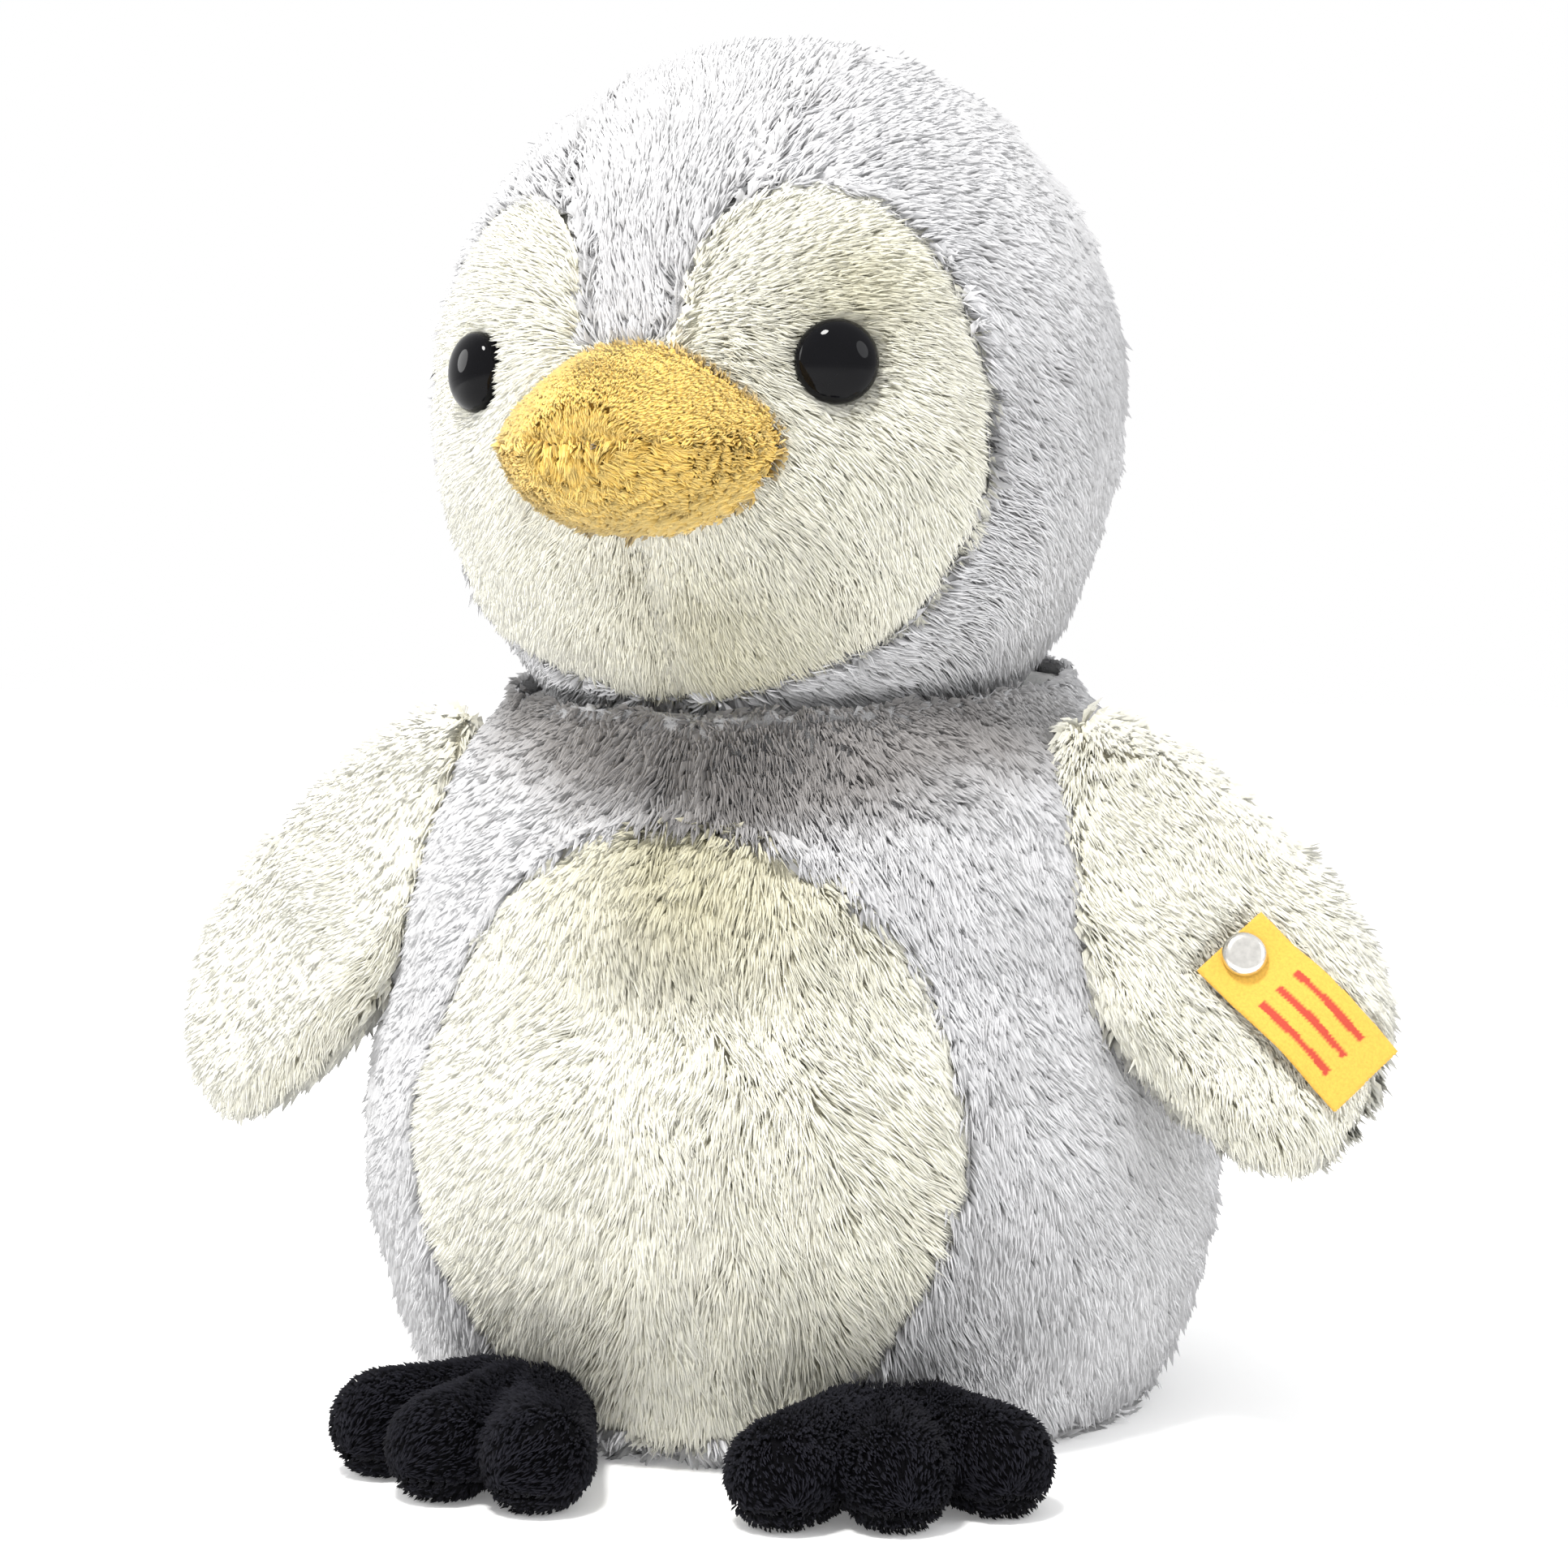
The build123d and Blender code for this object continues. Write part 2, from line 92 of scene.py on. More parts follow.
def evenly_meshed(node, name, grain, soften=3):
    """A welded copy of a CAD solid in small even faces, ready to be shaped."""
    mesh = frame["nodes"][node].data.copy()
    mesh.name = name
    mesh.materials.clear()
    piece = bpy.data.objects.new(name, mesh)
    bpy.context.collection.objects.link(piece)
    deselect_all()
    piece.select_set(True)
    bpy.context.view_layer.objects.active = piece
    bpy.ops.object.mode_set(mode="EDIT")
    bpy.ops.mesh.select_all(action="SELECT")
    bpy.ops.mesh.remove_doubles(threshold=0.00001)
    bpy.ops.object.mode_set(mode="OBJECT")
    even = piece.modifiers.new("even", "REMESH")
    even.mode = "VOXEL"
    even.voxel_size = grain
    even.use_smooth_shade = True
    if soften:
        soft = piece.modifiers.new("soften", "SMOOTH")
        soft.factor = 0.5
        soft.iterations = soften
    apply_all(piece)
    return piece


def points_of(mesh):
    """The corners of a mesh, one row each."""
    points = np.empty(len(mesh.vertices) * 3)
    mesh.vertices.foreach_get("co", points)
    return points.reshape(-1, 3)


def put_points(mesh, points):
    """Moves the corners of a mesh to these rows."""
    mesh.vertices.foreach_set("co", points.ravel())
    mesh.update()


def bell(distance, reach):
    """1 in the middle, easing to 0 well past the reach."""
    return np.exp(-((distance / reach) ** 2))


def lumps(points, size, seed):
    """Slow smooth waves over a surface, between about -1 and 1."""
    turns = np.random.default_rng(seed).normal(size=(5, 3))
    shifts = np.random.default_rng(seed + 1).uniform(0, 6.28, 5)
    total = np.zeros(len(points))
    for turn, shift in zip(turns, shifts):
        total += np.sin(points @ turn * (2.2 / size) + shift)
    return total / 3.2


def plain_finish(name, colour, rough, bump_scale, bump, sheen=0.0, metallic=0.0):
    """Node material with fine mottling and a small bump."""
    finish = bpy.data.materials.new(name)
    finish.use_nodes = True
    nodes, links = finish.node_tree.nodes, finish.node_tree.links
    shader = nodes["Principled BSDF"]
    shader.inputs["Roughness"].default_value = rough
    shader.inputs["Metallic"].default_value = metallic
    shader.inputs["Sheen Weight"].default_value = sheen
    place = nodes.new("ShaderNodeTexCoord")
    grain = nodes.new("ShaderNodeTexNoise")
    grain.inputs["Scale"].default_value = bump_scale
    grain.inputs["Detail"].default_value = 4
    links.new(place.outputs["Object"], grain.inputs["Vector"])
    tint = nodes.new("ShaderNodeValToRGB")
    tint.color_ramp.elements[0].position = 0.3
    tint.color_ramp.elements[1].position = 0.7
    tint.color_ramp.elements[0].color = (*(0.82 * c for c in colour), 1)
    tint.color_ramp.elements[1].color = (*colour, 1)
    links.new(grain.outputs["Fac"], tint.inputs["Fac"])
    links.new(tint.outputs["Color"], shader.inputs["Base Color"])
    relief = nodes.new("ShaderNodeBump")
    relief.inputs["Strength"].default_value = bump
    relief.inputs["Distance"].default_value = 0.0004
    links.new(grain.outputs["Fac"], relief.inputs["Height"])
    links.new(relief.outputs["Normal"], shader.inputs["Normal"])
    return finish


fibre = plain_finish("polyester fibre", (0.92, 0.92, 0.90), 0.9, 900, 0.6, sheen=0.3)
cotton = plain_finish("bag cotton", (0.84, 0.82, 0.76), 0.9, 2500, 0.3)
pellet = plain_finish("pellets", (0.86, 0.86, 0.84), 0.5, 400, 1.0)

BODY_OF = {}
for body_name, body_empty in frame["bodies"].items():
    for child in body_empty.children:
        BODY_OF[child.name] = body_name


def settle(piece, node, finish):
    """Gives a piece its material and hangs it on the body of a CAD node."""
    piece.data.materials.clear()
    piece.data.materials.append(finish)
    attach(piece, BODY_OF[node])


FILLINGS = {
    # CAD node: (slot, material, size of a face, how full it is)
    "body_stuffing": ("fibre_fill", fibre, 0.004, 0.95),
    "head_stuffing": ("fibre_fill", fibre, 0.004, 1.0),
    "beak_stuffing": ("fibre_fill", fibre, 0.0015, 0.9),
    "neck_core": ("fibre_fill", fibre, 0.0015, 0.9),
    "pellet_fill": ("pellets", pellet, 0.003, 0.8),
    "pellet_bag": ("cotton_bag", cotton, 0.0008, 0.8),
}


def body_form(points):
    """Settles the pear: a soft fold across the belly and a full lower belly."""
    x, y, z = points.T
    radius = np.hypot(x, y)
    front = np.clip(-y / np.maximum(radius, 1e-6), 0, 1) ** 0.7
    fold = bell(z - 0.0690 - 0.05 * x, 0.0090) * np.clip(1 - np.abs(x - 0.005) / 0.075, 0, 1)
    out = -0.0034 * fold * front
    out += 0.0018 * bell(z - 0.044, 0.018) * front
    out += 0.0008 * bell(z - 0.090, 0.012) * front
    out -= 0.0016 * bell(x, 0.0018) * np.clip(-y / 0.03, 0, 1) * (z > 0.088)
    out += 0.0006 * lumps(points, 0.030, 11)
    push = out / np.maximum(radius, 0.02)
    return points + np.stack([x * push, y * push, 0 * z], axis=1)


HEAD_TURN = radians(6.5)
HEAD_MIDDLE = np.array([0, -0.008, 0.162])


def head_local(points):
    """Points seen from the middle of the head, with the face towards -Y."""
    x, y, z = (points - HEAD_MIDDLE).T
    across = x * cos(HEAD_TURN) - y * sin(HEAD_TURN)
    along = x * sin(HEAD_TURN) + y * cos(HEAD_TURN)
    return np.stack([across, along, z], axis=1)


def head_form(points):
    """Presses in the eyes, the beak's root and the seam below it, and fills the cheeks."""
    local = head_local(points)
    x, y, z = local.T
    reach = np.linalg.norm(local, axis=1)
    front = y < 0
    below_beak = (z < -0.020) * front * np.clip((-z - 0.020) / 0.006, 0, 1)
    out = -0.0018 * bell(x, 0.0022) * below_beak
    for side in (1, -1):
        eye_off = np.hypot(x - side * 0.0305, z - 0.0015)
        out -= 0.0016 * bell(eye_off, 0.0075) * front
        out += 0.0016 * bell(np.hypot(x - side * 0.030, z + 0.022), 0.015) * front
    out -= 0.0014 * bell(np.hypot(x * 0.8, z - 0.012), 0.012) * front
    out += 0.0005 * lumps(local, 0.030, 23)
    push = out / np.maximum(reach, 0.02)
    return points + (points - HEAD_MIDDLE) * push[:, None]


for node, (slot, finish, grain, fullness) in FILLINGS.items():
    piece = evenly_meshed(node, f"{node}_mass", grain, soften=2)
    points = points_of(piece.data)
    if node == "body_stuffing":
        points = body_form(points)
    if node == "head_stuffing":
        points = head_form(points)
    put_points(piece.data, points)
    settle(piece, node, finish)
    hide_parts(node)


# ---- grey plush of the body ----
# Long soft pile on a knitted backing, grey with frosted tips. Two fronts and
# two backs are sewn down the middle and the sides and stretched over the fill.
def pile_finish(name, root, middle, tip, spread, sheen=0.25, painted_shade_colour=(0.42, 0.40, 0.385)):
    """Pile that darkens into its roots, each strand a little different, with painted shade
    multiplied in where a strand is marked for it.
    """
    finish = bpy.data.materials.new(name)
    finish.use_nodes = True
    nodes, links = finish.node_tree.nodes, finish.node_tree.links
    shader = nodes["Principled BSDF"]
    shader.inputs["Roughness"].default_value = 0.85
    shader.inputs["Specular IOR Level"].default_value = 0.15
    shader.inputs["Sheen Weight"].default_value = sheen
    shader.inputs["Sheen Roughness"].default_value = 0.6
    strand = nodes.new("ShaderNodeAttribute")
    strand.attribute_name = "pile"
    parts = nodes.new("ShaderNodeSeparateColor")
    links.new(strand.outputs["Color"], parts.inputs["Color"])
    along = nodes.new("ShaderNodeValToRGB")
    along.color_ramp.elements[0].color = (*root, 1)
    along.color_ramp.elements[1].color = (*tip, 1)
    centre = along.color_ramp.elements.new(0.5)
    centre.color = (*middle, 1)
    links.new(parts.outputs["Red"], along.inputs["Fac"])
    vary = nodes.new("ShaderNodeHueSaturation")
    lightness = nodes.new("ShaderNodeMapRange")
    lightness.inputs["To Min"].default_value = 1.0 - spread
    lightness.inputs["To Max"].default_value = 1.0 + spread
    links.new(parts.outputs["Green"], lightness.inputs["Value"])
    links.new(lightness.outputs["Result"], vary.inputs["Value"])
    links.new(along.outputs["Color"], vary.inputs["Color"])
    place = nodes.new("ShaderNodeTexCoord")
    drift = nodes.new("ShaderNodeTexNoise")
    drift.inputs["Scale"].default_value = 60
    drift.inputs["Detail"].default_value = 2
    links.new(place.outputs["Object"], drift.inputs["Vector"])
    patches = nodes.new("ShaderNodeMapRange")
    patches.inputs["From Min"].default_value = 0.3
    patches.inputs["From Max"].default_value = 0.7
    patches.inputs["To Min"].default_value = 0.93
    patches.inputs["To Max"].default_value = 1.06
    links.new(drift.outputs["Fac"], patches.inputs["Value"])
    shade = nodes.new("ShaderNodeHueSaturation")
    links.new(patches.outputs["Result"], shade.inputs["Value"])
    links.new(vary.outputs["Color"], shade.inputs["Color"])
    # Painted shade: each strand's blue value blends its colour towards the painted shade colour.
    painted_shade_mix = nodes.new("ShaderNodeMix")
    painted_shade_mix.data_type = "RGBA"
    painted_shade_mix.blend_type = "MULTIPLY"
    painted_shade_mix.inputs["B"].default_value = (*painted_shade_colour, 1)
    links.new(parts.outputs["Blue"], painted_shade_mix.inputs["Factor"])
    links.new(shade.outputs["Color"], painted_shade_mix.inputs["A"])
    links.new(painted_shade_mix.outputs["Result"], shader.inputs["Base Color"])
    return finish


def unit(rows):
    return rows / np.maximum(np.linalg.norm(rows, axis=1), 1e-9)[:, None]


def grow_pile(cloth, name, finish, count, length, thick, facing, lay, lift, tuft, seed,
              inset=0.0, over=0.6, pull=0.35, wild=1.0, trim=None, shade=None):
    """Sews strands all over the outside of a cloth.

    Each strand is a slim closed blade that leaves the cloth at the lift angle,
    bends over along lay and leans towards the tip of its tuft. An inset leaves
    the cloth's edge bare that far in, and shortens the strands next to it."""
    rng = np.random.default_rng(seed)
    mesh = cloth.data
    mesh.calc_loop_triangles()
    corners = np.empty(len(mesh.loop_triangles) * 3, dtype=np.int64)
    mesh.loop_triangles.foreach_get("vertices", corners)
    corners = corners.reshape(-1, 3)
    points = points_of(mesh)
    normals = np.empty(len(mesh.vertices) * 3)
    mesh.vertices.foreach_get("normal", normals)
    normals = normals.reshape(-1, 3)
    a, b, c = (points[corners[:, i]] for i in range(3))
    cross = np.cross(b - a, c - a)
    area = np.linalg.norm(cross, axis=1) / 2
    area = area * (facing((a + b + c) / 3, unit(cross)) > 0.35)
    pick = rng.choice(len(corners), size=count, p=area / area.sum())
    u, v = rng.random(count), rng.random(count)
    flip = u + v > 1
    u[flip], v[flip] = 1 - u[flip], 1 - v[flip]
    share = np.stack([1 - u - v, u, v], axis=1)
    root = np.einsum("ij,ijk->ik", share, points[corners[pick]])
    up = unit(np.einsum("ij,ijk->ik", share, normals[corners[pick]]))

    edge = points[np.abs(facing(points, normals)) < 0.30]
    rim = kdtree.KDTree(len(edge))
    for place, spot in enumerate(edge):
        rim.insert(spot, place)
    rim.balance()
    found = [rim.find(spot) for spot in root]
    inside = np.array([hit[2] for hit in found]) - inset
    outward = unit(np.array([hit[0] for hit in found]) - root)
    keep = inside > 0
    root, up, inside, outward = root[keep], up[keep], inside[keep], outward[keep]
    count = len(root)

    flow = lay(root, up)
    flow = unit(flow - up * (flow * up).sum(axis=1)[:, None])
    flow = flow + outward * (over * np.exp(-inside / 0.0016))[:, None]
    flow = unit(flow - up * (flow * up).sum(axis=1)[:, None])
    across = np.cross(up, flow)
    veer = wild * radians(20) * lumps(root, 0.014, seed + 5) + rng.normal(0, radians(12), count)
    flow = flow * np.cos(veer)[:, None] + across * np.sin(veer)[:, None]
    rise = radians(lift) + wild * radians(9) * lumps(root, 0.010, seed + 7)
    rise = rise + rng.normal(0, radians(8), count)
    long = length * (1 + 0.10 * lumps(root, 0.012, seed + 9)) * rng.uniform(0.70, 1.12, count)
    if inset:
        long = long * np.clip(0.70 + 0.30 * inside / 0.0035, 0, 1)
    if trim:
        long = long * trim(root)
    first = flow * np.cos(rise + 0.35)[:, None] + up * np.sin(rise + 0.35)[:, None]
    last = flow * np.cos(rise - 0.35)[:, None] + up * np.sin(rise - 0.35)[:, None]
    bend = root + first * (0.5 * long)[:, None]
    tip = bend + last * (0.5 * long)[:, None]

    leaders = rng.choice(count, size=max(4, int(count / tuft)), replace=False)
    tree = kdtree.KDTree(len(leaders))
    for place, leader in enumerate(leaders):
        tree.insert(root[leader], place)
    tree.balance()
    mine = leaders[[tree.find(spot)[1] for spot in root]]
    lean = pull * rng.uniform(0.5, 1.5, count)[:, None]
    spare = (root - root[mine]) * 0.35
    tip = tip * (1 - lean) + (tip[mine] + spare) * lean
    bend = bend * (1 - 0.4 * lean) + (bend[mine] + spare * 2.0) * 0.4 * lean

    side = unit(np.cross(tip - root, up) + 1e-9)
    half = 0.5 * thick * rng.uniform(0.7, 1.25, count)[:, None]
    made = [root - up * 0.0004, bend + half * side, bend - half * side, tip]
    vertices = np.stack(made, axis=1).reshape(-1, 3)
    pattern = np.array([[0, 1, 2], [3, 2, 1], [0, 3, 1], [0, 2, 3]])
    faces = (np.arange(count)[:, None, None] * 4 + pattern[None]).reshape(-1, 3)
    hair = bpy.data.meshes.new(name)
    hair.vertices.add(len(vertices))
    hair.vertices.foreach_set("co", vertices.ravel())
    hair.loops.add(len(faces) * 3)
    hair.loops.foreach_set("vertex_index", faces.ravel())
    hair.polygons.add(len(faces))
    hair.polygons.foreach_set("loop_start", np.arange(len(faces)) * 3)
    hair.polygons.foreach_set("use_smooth", np.ones(len(faces), dtype=bool))
    hair.update(calc_edges=True)
    face = np.cross(side, tip - root) / np.maximum(long, 1e-6)[:, None]
    shine = unit(up + 0.30 * face + 0.25 * flow)
    at_root = unit(shine - 0.2 * flow)
    at_bend = [unit(shine + 0.35 * side), unit(shine - 0.35 * side)]
    shine = np.stack([at_root, *at_bend, shine], axis=1)
    hair.normals_split_custom_set_from_vertices(shine.reshape(-1, 3))
    own = rng.random(count)
    family = rng.random(count)[mine]
    colour = np.ones((count, 4, 4))
    colour[:, :, 0] = np.array([0.0, 0.5, 0.5, 1.0])
    colour[:, :, 1] = (0.6 * own + 0.4 * family)[:, None]
    # Blue marks how much painted shade the pile material multiplies into each strand.
    colour[:, :, 2] = shade(root)[:, None] if shade else 0
    layer = hair.attributes.new("pile", "FLOAT_COLOR", "POINT")
    layer.data.foreach_set("color", colour.ravel().astype(np.float32))
    piece = bpy.data.objects.new(name, hair)
    bpy.context.collection.objects.link(piece)
    piece.data.materials.append(finish)
    return piece


def tuck_in(piece, facing, depth):
    """Draws the cloth's outer face in, so that its pile fills the room outside it."""
    mesh = piece.data
    points = points_of(mesh)
    normals = np.empty(len(mesh.vertices) * 3)
    mesh.vertices.foreach_get("normal", normals)
    normals = normals.reshape(-1, 3)
    outer = np.clip((facing(points, normals) - 0.2) / 0.4, 0, 1)
    put_points(mesh, points - normals * (depth * outer)[:, None])


grey_backing = plain_finish("grey backing", (0.50, 0.50, 0.51), 0.95, 2600, 0.8)
grey_pile = pile_finish(
    "grey pile", (0.42, 0.415, 0.42), (0.535, 0.535, 0.545), (0.68, 0.68, 0.695), 0.13
)


def body_outside(points, normals):
    """How squarely each normal faces out of the body."""
    out = unit(points - np.array([0, 0, 0.055]))
    return (normals * out).sum(axis=1)


def body_lay(points, normals):
    """Pile combed down and a little towards the back."""
    x, y, z = points.T
    radius = np.maximum(np.hypot(x, y), 1e-6)
    back = np.stack([-y * np.sign(x), x * np.sign(x), 0 * z], axis=1) / radius[:, None]
    return np.array([0, 0, -1.0]) + 0.25 * back


def painted_chin_shadow(points):
    """How much painted shadow the head casts on the chest's pile, darkest just under the chin."""
    x, y, z = points.T
    front = np.clip(-y / 0.030, 0, 1)
    reach = 0.089 + 1.3 * np.abs(x - 0.008) ** 1.5 + 0.0022 * lumps(points, 0.010, 31)
    return front * np.clip((z - reach) / 0.012, 0, 1)


def collar(points):
    """Shorter pile where the body slips under the head."""
    return 1 - 0.55 * np.clip((points[:, 2] - 0.106) / 0.006, 0, 1)


def cover(node, grain, form, facing, tuck, backing):
    """A panel of plush cloth, shaped over its filling."""
    piece = evenly_meshed(node, f"{node}_cloth", grain, soften=1)
    put_points(piece.data, form(points_of(piece.data)))
    tuck_in(piece, facing, tuck)
    settle(piece, node, backing)
    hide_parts(node)
    return piece


BODY_PANELS = {
    # panel: (strands, flat width, flat height, flat area, seed)
    "body_front_left": (37000, 0.090, 0.125, 0.0078, 101),
    "body_front_right": (34000, 0.090, 0.125, 0.0078, 102),
    "body_back_left": (24000, 0.105, 0.125, 0.0115, 103),
    "body_back_right": (24000, 0.105, 0.125, 0.0115, 104),
}
for node, (count, wide, tall, area, seed) in BODY_PANELS.items():
    cloth = cover(node, 0.0018, body_form, body_outside, 0.0020, grey_backing)
    pile = grow_pile(cloth, f"{node}_pile", grey_pile, count, length=0.0056, thick=0.00025,
                     facing=body_outside, lay=body_lay, lift=29, tuft=16, seed=seed,
                     over=0.35, trim=collar, shade=painted_chin_shadow)
    settle(pile, node, grey_pile)


# ---- belly patch ----
# Cream plush with a longer, woollier pile, cut as an oval and let into the
# fronts of the body.
cream_backing = plain_finish("cream backing", (0.74, 0.71, 0.58), 0.95, 2600, 0.8)
cream_pile = pile_finish(
    "cream pile", (0.65, 0.62, 0.48), (0.74, 0.725, 0.615), (0.82, 0.81, 0.735), 0.06,
    painted_shade_colour=(0.50, 0.46, 0.28),
)


def belly_lay(points, normals):
    """Pile combed down and out to the sides."""
    x, y, z = points.T
    return np.stack([0.9 * x / 0.045, 0 * x, -1.0 + 0 * x], axis=1)


def painted_belly_shadow(points):
    """Painted shadow at the top of the belly, under the head."""
    x, y, z = points.T
    middle = bell(x - 0.002 + 0.002 * lumps(points, 0.014, 41), 0.020)
    return 0.60 * middle * np.clip((z - 0.066) / 0.020, 0, 1)


cloth = cover("belly_patch", 0.0014, body_form, body_outside, 0.0018, cream_backing)
pile = grow_pile(cloth, "belly_patch_pile", cream_pile, 37000, length=0.0060, thick=0.00025,
                 facing=body_outside, lay=belly_lay, lift=30, tuft=16, seed=120,
                 inset=0.0006, over=0.1, wild=1.3, shade=painted_belly_shadow)
settle(pile, "belly_patch", cream_pile)


# ---- base ----
# Round bottom panel of the same grey plush, with its pile pressed flat by the
# toy's own weight.
def base_outside(points, normals):
    """How squarely each normal faces the floor."""
    return -normals[:, 2]


def as_cut(points):
    """Leaves a cloth in its CAD panel's own shape."""
    return points


def base_lay(points, normals):
    """Pile pressed outwards from the middle."""
    return points * np.array([1, 1, 0]) + np.array([0, 0.03, 0])


def press_on_floor(pile):
    """Flattens one piece's pile where it would go through the floor."""
    points = points_of(pile.data)
    points[:, 2] = np.maximum(points[:, 2], 0.0001)
    put_points(pile.data, points)


cloth = cover("body_base", 0.0020, as_cut, base_outside, 0.0008, grey_backing)
pile = grow_pile(cloth, "body_base_pile", grey_pile, 6000, length=0.0045, thick=0.00048,
                 facing=base_outside, lay=base_lay, lift=3, tuft=12, seed=130)
press_on_floor(pile)
settle(pile, "body_base", grey_pile)


# ---- grey plush of the head ----
# Two sides and a gusset that runs from the beak over the crown and down the
# back, of the body's plush, sewn together and filled tight.
NECK_RIM = 0.1035


def head_outside(points, normals):
    """How squarely each normal faces out of the head, leaving out the part in the neck."""
    out = (normals * unit(points - HEAD_MIDDLE)).sum(axis=1)
    return np.where(points[:, 2] > NECK_RIM, out, -1)


def out_of_head(flow):
    """Turns directions seen from the head back to those of the room."""
    x, y, z = flow.T
    across = x * cos(HEAD_TURN) + y * sin(HEAD_TURN)
    along = -x * sin(HEAD_TURN) + y * cos(HEAD_TURN)
    return np.stack([across, along, z], axis=1)


def head_lay(points, normals):
    """Pile combed up the brow, over the crown and down the sides and back."""
    local = head_local(points)
    x, y, z = local.T
    behind = np.clip((y + 0.035) / 0.075, 0, 1)
    beside = np.clip(np.abs(x) / 0.045, 0, 1)
    upward = 0.6 - 1.6 * behind - 0.9 * beside
    return out_of_head(np.stack([0.4 * x / 0.05, 0.9 - 0.8 * behind, upward], axis=1))


HEAD_PANELS = {
    # panel: (strands, flat width, flat height, flat area, seed)
    "crown_gusset": (29000, 0.045, 0.230, 0.0086, 201),
    "head_side_left": (38000, 0.110, 0.160, 0.0122, 202),
    "head_side_right": (29000, 0.110, 0.160, 0.0122, 203),
}
for node, (count, wide, tall, area, seed) in HEAD_PANELS.items():
    cloth = cover(node, 0.0018, head_form, head_outside, 0.0023, grey_backing)
    pile = grow_pile(cloth, f"{node}_pile", grey_pile, count, length=0.0044, thick=0.00022,
                     facing=head_outside, lay=head_lay, lift=27, tuft=16, seed=seed,
                     over=0.5, pull=0.25)
    settle(pile, node, grey_pile)


# ---- cheeks ----
# Two cream plush cheeks, sewn to each other under the beak and to the grey
# round their edge. The pile is a little shorter than the belly's.
def cheek_lay(points, normals):
    """Pile combed out and down from the beak."""
    local = head_local(points)
    x, y, z = local.T
    away = np.stack([x, 0 * x, z + 0.004], axis=1)
    return out_of_head(unit(away) + np.array([0, 0.2, -0.55]))


def painted_chin_shade(points):
    """Painted shade under the beak, and darker pile over one eye."""
    x, y, z = head_local(points).T
    middle = bell(x - 0.010 + 0.003 * lumps(points, 0.012, 51), 0.016)
    low = middle * np.clip((-0.022 - z) / 0.012, 0, 1)
    brow = bell(np.hypot(x - 0.030, z - 0.012), 0.009)
    return 0.45 * low + 0.45 * brow


for node, seed in (("face_left", 301), ("face_right", 302)):
    cloth = cover(node, 0.0012, head_form, head_outside, 0.0018, cream_backing)
    pile = grow_pile(cloth, f"{node}_pile", cream_pile, 26000, length=0.0044, thick=0.00021,
                     facing=head_outside, lay=cheek_lay, lift=27, tuft=16, seed=seed,
                     inset=0.0004, over=0.1, pull=0.25, shade=painted_chin_shade)
    settle(pile, node, cream_pile)


# ---- beak ----
# Upper and lower bill of golden shaggy plush, sewn together round the lip and
# stuffed softly. The top is brushed smooth and the underside is shaggier.
gold_backing = plain_finish("golden backing", (0.46, 0.27, 0.05), 0.95, 2600, 0.8)
gold_pile = pile_finish(
    "golden pile", (0.44, 0.24, 0.04), (0.70, 0.455, 0.095), (0.86, 0.64, 0.22), 0.18
)


BEAK_MIDDLE = np.array([0, -0.050, -0.0105])


def beak_outside(points, normals):
    """How squarely each normal faces out of the flattened beak."""
    local = head_local(points)
    turned = head_local(points + normals) - local
    away = unit((local - BEAK_MIDDLE) * np.array([0.8, 0.5, 2.0]))
    return (turned * away).sum(axis=1)


def beak_lay(points, normals):
    """Pile combed forward and a little down."""
    forward = np.array([-sin(HEAD_TURN), -cos(HEAD_TURN), 0])
    return np.tile(forward + np.array([0, 0, -0.25]), (len(points), 1))


BEAK_PANELS = {
    # panel: (strands, their length, how much they tuft, seed)
    "beak_upper": (14000, 0.0024, 0.2, 401),
    "beak_lower": (11000, 0.0036, 0.6, 402),
}
for node, (count, length, pull, seed) in BEAK_PANELS.items():
    cloth = cover(node, 0.0008, as_cut, beak_outside, 0.0008, gold_backing)
    pile = grow_pile(cloth, f"{node}_pile", gold_pile, count, length=length, thick=0.00023,
                     facing=beak_outside, lay=beak_lay, lift=26, tuft=12, seed=seed, pull=pull)
    settle(pile, node, gold_pile)


# ---- eyes ----
# Black plastic safety eyes: a polished dome on a plain shank, held behind the
# cheek by a pressed-on washer. The CAD nodes are kept as they are.
eye_gloss = plain_finish("black eye plastic", (0.003, 0.003, 0.004), 0.04, 300, 0.0)
eye_gloss.node_tree.nodes["Principled BSDF"].inputs["Specular IOR Level"].default_value = 0.11
washer_white = plain_finish("washer plastic", (0.86, 0.86, 0.84), 0.5, 500, 0.1)
for side in ("left", "right"):
    for node, finish in ((f"eye_{side}", eye_gloss), (f"eye_washer_{side}", washer_white)):
        part = frame["nodes"][node]
        part.data.materials.clear()
        part.data.materials.append(finish)


# ---- wings ----
# Each wing is two leaves of cream plush sewn round the edge, turned and lightly
# stuffed, and caught to the body along the shoulder.
WING_ROOT = np.array([0.052, -0.017, 0.107])
WING_ALONG = np.array([0.4904, -0.1875, -0.8511])
WING_FRONT = np.array([0.3040, -0.8784, 0.3687])


def wing_outside(side, face):
    """How squarely normals face out of one leaf of a wing."""
    front = WING_FRONT * np.array([side, 1, 1]) * (1 if face == "front" else -1)

    def outside(points, normals):
        return normals @ front + 0.20

    return outside


def wing_lay(side):
    """Pile combed from the shoulder to the tip."""
    along = WING_ALONG * np.array([side, 1, 1])

    def lay(points, normals):
        return np.tile(along, (len(points), 1))

    return lay


WING_ACROSS = np.cross(WING_FRONT, WING_ALONG)
BUTTON = WING_ROOT + 0.0417 * WING_ALONG + 0.0059 * WING_ACROSS
RIBBON_TURN = radians(18.8)
RIBBON_LINE = cos(RIBBON_TURN) * WING_ALONG + sin(RIBBON_TURN) * WING_ACROSS


